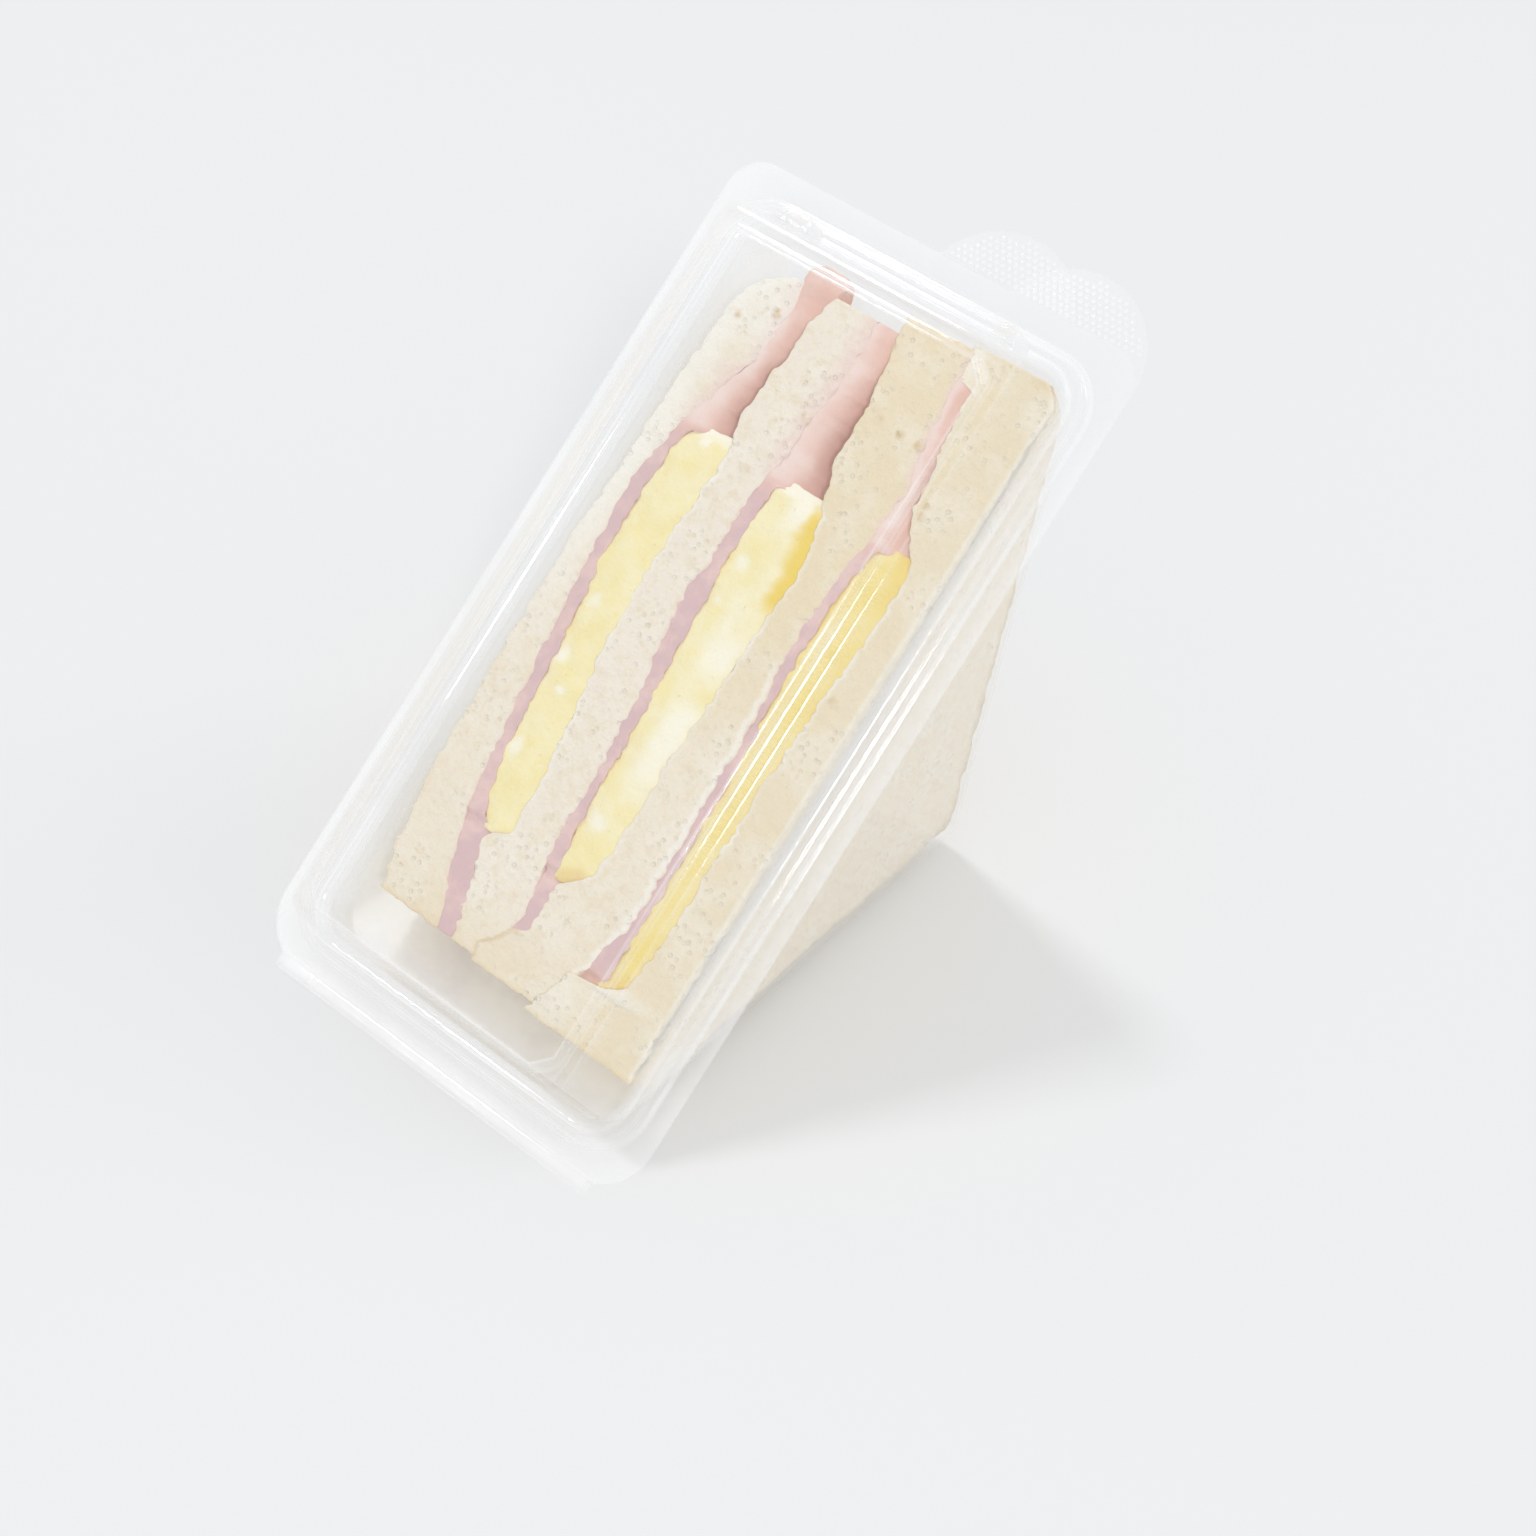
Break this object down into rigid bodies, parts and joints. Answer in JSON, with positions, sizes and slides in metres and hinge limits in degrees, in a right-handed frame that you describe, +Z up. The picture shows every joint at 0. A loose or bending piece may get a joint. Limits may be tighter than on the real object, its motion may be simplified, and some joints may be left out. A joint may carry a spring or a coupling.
{
  "type": "plastic clamshell pack",
  "caption": "Clear hinged wedge pack for a sandwich: stepped dome lid over a deep triangular pocket, rolled film hinge, nested rims, opening tabs, and layered bread, ham and egg inside.",
  "frame": {"origin": "middle of the bounding box in X and Y, at the lowest point of the pack as it stands", "axes": "+Z up, +X across the pack to the right as the lid faces the viewer, -Y towards the hinge and the front, +Y towards the back and the opening tabs"},
  "size_m": [0.084, 0.1288, 0.1196],
  "materials": {
    "clear_plastic": "clear thermoformed sheet, glossy",
    "bread": "soft white bread crumb, matte",
    "ham": "moist cooked ham, slight sheen",
    "egg": "mashed egg filling, moist"
  },
  "bodies": {
    "base": {"base_tray": "clear_plastic", "bread_slice_1": "bread", "bread_slice_2": "bread", "bread_slice_3": "bread", "bread_slice_4": "bread", "ham_slice_1": "ham", "ham_slice_2": "ham", "ham_slice_3": "ham", "egg_layer_1": "egg", "egg_layer_2": "egg", "egg_layer_3": "egg"},
    "lid": {"lid": "clear_plastic"}
  },
  "joints": [
    {"name": "lid_hinge", "type": "hinge", "parent": "base", "child": "lid", "pos_m": [0, -0.06178, 0.00053], "axis": [1, 0, 0], "range_deg": [0, 84]}
  ]
}
